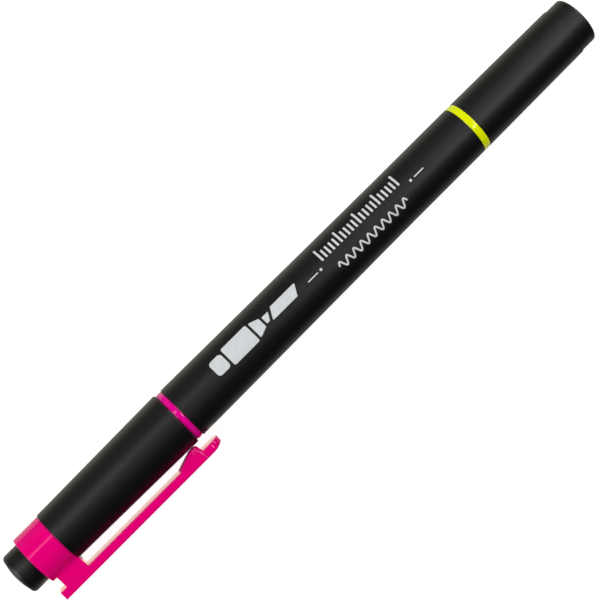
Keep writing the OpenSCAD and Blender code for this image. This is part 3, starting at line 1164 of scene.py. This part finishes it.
# The printed marks, in millimetres from the barrel's clip end and from the print's middle line
CAP_MARK = (9.05, 11.95, -0.9, 2.3, 0.7)
BODY_MARK = (12.45, 18.65, -1.3, 2.7, 0.35)
SHOULDER_MARK = ((19.15, -1.1, 0.2), (21.15, -0.3, 0.2), (21.15, 1.7, 0.2), (19.15, 2.5, 0.2))
TIP_MARK = ((21.65, -0.05, 0.1), (22.35, -0.05, 0.1), (23.25, 1.45, 0.1), (21.65, 1.45, 0.1))
LINE_MARK = (23.45, 29.55, -0.4, 1.8, 0.15, 1.3)
DASHES = ((32.0, 34.4, -0.11, 0.11), (58.85, 61.2, -0.11, 0.11))
DOTS = (35.2, 57.96)
DOT_R = 0.27
WAVE = {"start": 38.0, "end": 55.1, "middle": -2.08, "pitch": 1.8, "high": 0.72, "half": 0.17}
SCALE_START = (36.7, 0.855)
SCALE_SIZES = {"Pitch": 0.96, "Tick_width": 0.42, "Short_tick": 1.85, "Long_tick": 2.83}
PRINT_TURN = math.radians(-10)


class HIGHLIGHTER_OT_print(bpy.types.Operator):
    """Prints plain marks on the barrel: a pen drawing a line, a ruler's ticks, a wave and dashes"""

    bl_idname = "highlighter.print"
    bl_label = "Printed marks"

    def execute(self, context):
        sizes = context.scene.highlighter_sizes
        relief = sizes.ink_relief
        shapes = [self.block(*mark) for mark in (CAP_MARK, BODY_MARK, LINE_MARK, *DASHES)]
        shapes += [SHOULDER_MARK, TIP_MARK, *map(self.dot, DOTS)]
        marks = [self.plate(shape, relief) for shape in shapes]
        marks += [self.wave(relief, **WAVE), self.ticks(relief)]
        printed = join(marks)
        printed.name = "barrel_print"
        run_tree(
            printed,
            wrap_tree(),
            finish("print_ink"),
            Straight_radius=radius_of("yellow_cap_tube"),
            Wide_radius=radius_of("barrel"),
            Wide_end=BARREL_X[0],
            Straight_start=BARREL_X[1] - sizes.straight_l,
            Turn=PRINT_TURN,
        )
        face_outwards(printed.data)
        printed.data.shade_smooth()
        printed.data.set_sharp_from_angle(angle=math.radians(35))
        keep(printed, "barrel", "print_ink")
        return {"FINISHED"}

    def block(self, x0, x1, y0, y1, r=0.0, slant=0.0):
        """Corners of a block. Its ends may lean by slant."""
        lean = slant / 2
        return [(x0 - lean, y0, r), (x1 - lean, y0, r), (x1 + lean, y1, r), (x0 + lean, y1, r)]

    def dot(self, x, sides=20):
        """Corners of a round dot on the middle line."""
        turns = [k * FULL_TURN / sides for k in range(sides)]
        return [(x + DOT_R * math.cos(a), DOT_R * math.sin(a), 0) for a in turns]

    def plate(self, corners, relief):
        """A thin plate, sliced finely enough across the barrel to follow its round."""
        placed = [(BARREL_X[0] + x * MM, y * MM, r * MM) for x, y, r in corners]
        shape = rounded(placed, fineness=20)
        work = bmesh.new()
        face = work.faces.new([work.verts.new((*p, -relief)) for p in shape])
        grown = bmesh.ops.extrude_face_region(work, geom=[face])
        top = [g for g in grown["geom"] if isinstance(g, bmesh.types.BMVert)]
        bmesh.ops.translate(work, vec=(0, 0, 2 * relief), verts=top)
        low, high = min(p.y for p in shape), max(p.y for p in shape)
        slices = max(1, math.ceil((high - low) / (0.3 * MM)))
        for k in range(1, slices):
            at = low + (high - low) * k / slices
            whole = work.verts[:] + work.edges[:] + work.faces[:]
            bmesh.ops.bisect_plane(work, geom=whole, plane_co=(0, at, 0), plane_no=(0, 1, 0))
        bmesh.ops.recalc_face_normals(work, faces=work.faces)
        mesh = bpy.data.meshes.new("plate")
        work.to_mesh(mesh)
        work.free()
        return new_object("plate", mesh)

    def wave(self, relief, start, end, middle, pitch, high, half, steps=220):
        """A thin even wave, made as a ribbon that follows a sine."""
        points = []
        for k in range(steps + 1):
            x = (end - start) * k / steps
            phase = x / pitch * FULL_TURN
            slope = high * FULL_TURN / pitch * math.cos(phase)
            centre = Vector((start + x, middle + high * math.sin(phase))) * MM
            across = Vector((-slope, 1)).normalized() * half * MM
            for side, up in ((1, 1), (-1, 1), (-1, -1), (1, -1)):
                edge = centre + across * side
                points.append((BARREL_X[0] + edge.x, edge.y, relief * up))
        faces = []
        for k in range(steps):
            a, b = 4 * k, 4 * k + 4
            faces += [(a + i, a + (i + 1) % 4, b + (i + 1) % 4, b + i) for i in range(4)]
        faces += [(0, 1, 2, 3), (4 * steps + 3, 4 * steps + 2, 4 * steps + 1, 4 * steps)]
        return new_object("wave", mesh_of("wave", points, faces))

    def ticks(self, relief):
        """A row of ticks like a ruler's, about one every millimetre."""
        row = new_object("ticks", mesh_of("ticks", [(0, 0, 0)]))
        x, y = SCALE_START
        lengths = {label: value * MM for label, value in SCALE_SIZES.items()}
        start = (BARREL_X[0] + x * MM, y * MM, 0)
        ink = finish("print_ink")
        run_tree(row, scale_tree(), ink, Count=21, Thickness=2 * relief, Start=start, **lengths)
        return row


class HIGHLIGHTER_OT_fillers(bpy.types.Operator):
    """Gives the pieces inside the barrel their fibre, film and natural plastic"""

    bl_idname = "highlighter.fillers"
    bl_label = "Ink fillers and divider"

    def execute(self, context):
        slots = {s["node"]: s["material_slot"] for s in frame["record"]["subparts"]}
        for name, node in frame["nodes"].items():
            node.data.materials.clear()
            node.data.materials.append(finish(slots[name]))
        return {"FINISHED"}


class HIGHLIGHTER_OT_stage(bpy.types.Operator):
    """Sets a pale floor, soft studio light and the camera above the pen"""

    bl_idname = "highlighter.stage"
    bl_label = "Floor, light and camera"

    def execute(self, context):
        self.floor()
        self.lights()
        self.camera()
        context.scene.view_settings.view_transform = "Standard"
        return {"FINISHED"}

    def floor(self):
        """A lit white sheet that the camera sees, and cards just below it that only the pen sees:
        each side of the floor glows as brightly as that side of the pen needs."""
        far = (PEN_START - 1.5, 1.5)
        below_clip = (-7.2 * MM, -4.6 * MM)
        floor = self.sheet("pale_floor", far, (-1.5, 1.5), 0.0, "#8A8A8A", "#FFFFFF", 0.9)
        floor.visible_diffuse = False
        floor.visible_glossy = False
        clip_span = (PEN_START + 2 * MM, CLIP_MOUTH + 4 * MM)
        cards = (
            ("back_card", far, (0.0, 0.6), -0.1 * MM, "#FFFBEA", 0.85),
            ("front_card", far, (-13 * MM, 0.0), -0.1 * MM, "#FFFFFF", 0.42),
            ("front_fill_card", far, (-0.4, 0.0), -0.2 * MM, "#FFFFFF", 0.8),
            ("clip_gap_card", clip_span, below_clip, -0.05 * MM, "#FFE8D0", 1.6),
        )
        for name, ends, across, drop, glow, strength in cards:
            card = self.sheet(name, ends, across, drop, "#000000", glow, strength)
            card.visible_camera = False
            card.visible_glossy = name != "front_fill_card"

    def sheet(self, name, ends, across, drop, base, glow, strength):
        """A flat sheet below the pen, from ends[0] to ends[1] along X and across along Y."""
        z = REST_Z + drop
        points = [(x, y, z) for x, y in zip((*ends, *reversed(ends)), sorted(across * 2))]
        sheet = new_object(name, mesh_of(name, points, [(0, 1, 2, 3)]))
        material, _ = plain_material(
            name + "_paper",
            Base_Color=linear(base),
            Roughness=0.9,
            Emission_Color=linear(glow),
            Emission_Strength=strength,
        )
        sheet.data.materials.append(material)
        return sheet

    def lights(self):
        world = bpy.context.scene.world or bpy.data.worlds.new("studio")
        bpy.context.scene.world = world
        world.use_nodes = True
        background = world.node_tree.nodes["Background"]
        background.inputs["Color"].default_value = (1.0, 1.0, 1.0, 1.0)
        background.inputs["Strength"].default_value = 0.02
        middle = Vector((PEN_START / 2, 0, 0))
        # name, bearing round the pen from -Y over the top, distance, across, along, radiance, shift
        softboxes = [
            ("overhead_strip", 94, 0.5, 0.085, 0.8, 3.8, -0.26),
            ("end_strip", 71, 0.5, 0.085, 0.5, 2.9, 0.41),
            ("back_softbox", 148, 0.5, 0.45, 1.2, 0.18, 0.0),
            ("tip_softbox", 59.4, 0.45, 0.06, 0.09, 12.0, 0.1655),
        ]
        for name, bearing, distance, across, along, radiance, shift in softboxes:
            a = math.radians(bearing)
            place = middle + Vector((shift, -math.cos(a) * distance, math.sin(a) * distance))
            self.softbox(name, place, middle, along, across, radiance)
        for name, sign in (("left_softbox", -1), ("right_softbox", 1)):
            place = middle + Vector((sign * 0.55, 0.03, 0.42))
            self.softbox(name, place, middle, 0.5, 0.5, 3.6)

    def softbox(self, name, place, target, size_x, size_y, radiance):
        light = bpy.data.lights.new(name, "AREA")
        light.shape = "RECTANGLE"
        light.size = size_x
        light.size_y = size_y
        light.energy = radiance * math.pi * size_x * size_y
        new_object(name, light).matrix_world = aimed(place, target)

    def camera(self):
        """Looks down on the pen from 342 mm, with the clip end nearer and the pen across a corner."""
        distance, elevation = 341.6 * MM, math.radians(74)
        above = BARREL_X[0] - 4.2 * MM
        looked_at = BARREL_X[0] + 29.24 * MM
        aside = -0.65 * MM
        over = Vector((0, -math.cos(elevation), math.sin(elevation)))
        place = Vector((above, 0, 0)) + over * distance
        level_up = over.cross(Vector((1, 0, 0)))
        target = Vector((looked_at, 0, 0)) + level_up * aside
        data = bpy.data.cameras.new("camera")
        data.lens = 114.5
        data.sensor_width = 36
        data.clip_start = 0.01
        camera = new_object("camera", data)
        camera.matrix_world = aimed(place, target, math.radians(-44.94))
        bpy.context.scene.camera = camera


def aimed(place, target, roll=0.0):
    """Where a lamp or camera stands that looks from place at target, with the pen level across it."""
    ahead = (target - place).normalized()
    along = Vector((1, 0, 0))
    right = (along - ahead * along.dot(ahead)).normalized()
    turn = Matrix((right, right.cross(ahead), -ahead)).transposed().to_4x4()
    return Matrix.Translation(place) @ turn @ Matrix.Rotation(roll, 4, "Z")


# ---------------------------------------------------------------- panel and running

OPERATORS = (
    HIGHLIGHTER_OT_stage,
    HIGHLIGHTER_OT_fillers,
    HIGHLIGHTER_OT_barrel,
    HIGHLIGHTER_OT_print,
    HIGHLIGHTER_OT_holders,
    HIGHLIGHTER_OT_tips,
    HIGHLIGHTER_OT_caps,
    HIGHLIGHTER_OT_ends,
    HIGHLIGHTER_OT_clip,
)


class HIGHLIGHTER_PT_panel(bpy.types.Panel):
    """Lists the sizes, the colours and the pieces"""

    bl_idname = "HIGHLIGHTER_PT_panel"
    bl_label = "Double-ended highlighter"
    bl_space_type = "VIEW_3D"
    bl_region_type = "UI"
    bl_category = "Highlighter"

    def draw(self, context):
        for group in (context.scene.highlighter_sizes, context.scene.highlighter_colours):
            box = self.layout.box()
            for name in group.bl_rna.properties.keys():
                if name not in ("rna_type", "name"):
                    box.prop(group, name)
        for operator in OPERATORS:
            self.layout.operator(operator.bl_idname)


CLASSES = (HIGHLIGHTER_PG_sizes, HIGHLIGHTER_PG_colours, *OPERATORS, HIGHLIGHTER_PT_panel)


def register():
    for cls in CLASSES:
        bpy.utils.register_class(cls)
    bpy.types.Scene.highlighter_sizes = bpy.props.PointerProperty(type=HIGHLIGHTER_PG_sizes)
    bpy.types.Scene.highlighter_colours = bpy.props.PointerProperty(type=HIGHLIGHTER_PG_colours)


def unregister():
    del bpy.types.Scene.highlighter_colours
    del bpy.types.Scene.highlighter_sizes
    for cls in reversed(CLASSES):
        bpy.utils.unregister_class(cls)


def main():
    register()
    bpy.ops.highlighter.stage()
    bpy.ops.highlighter.fillers()
    bpy.ops.highlighter.barrel()
    bpy.ops.highlighter.print()
    bpy.ops.highlighter.holders()
    bpy.ops.highlighter.tips()
    bpy.ops.highlighter.caps()
    bpy.ops.highlighter.ends()
    bpy.ops.highlighter.clip()


if __name__ == "__main__":
    main()
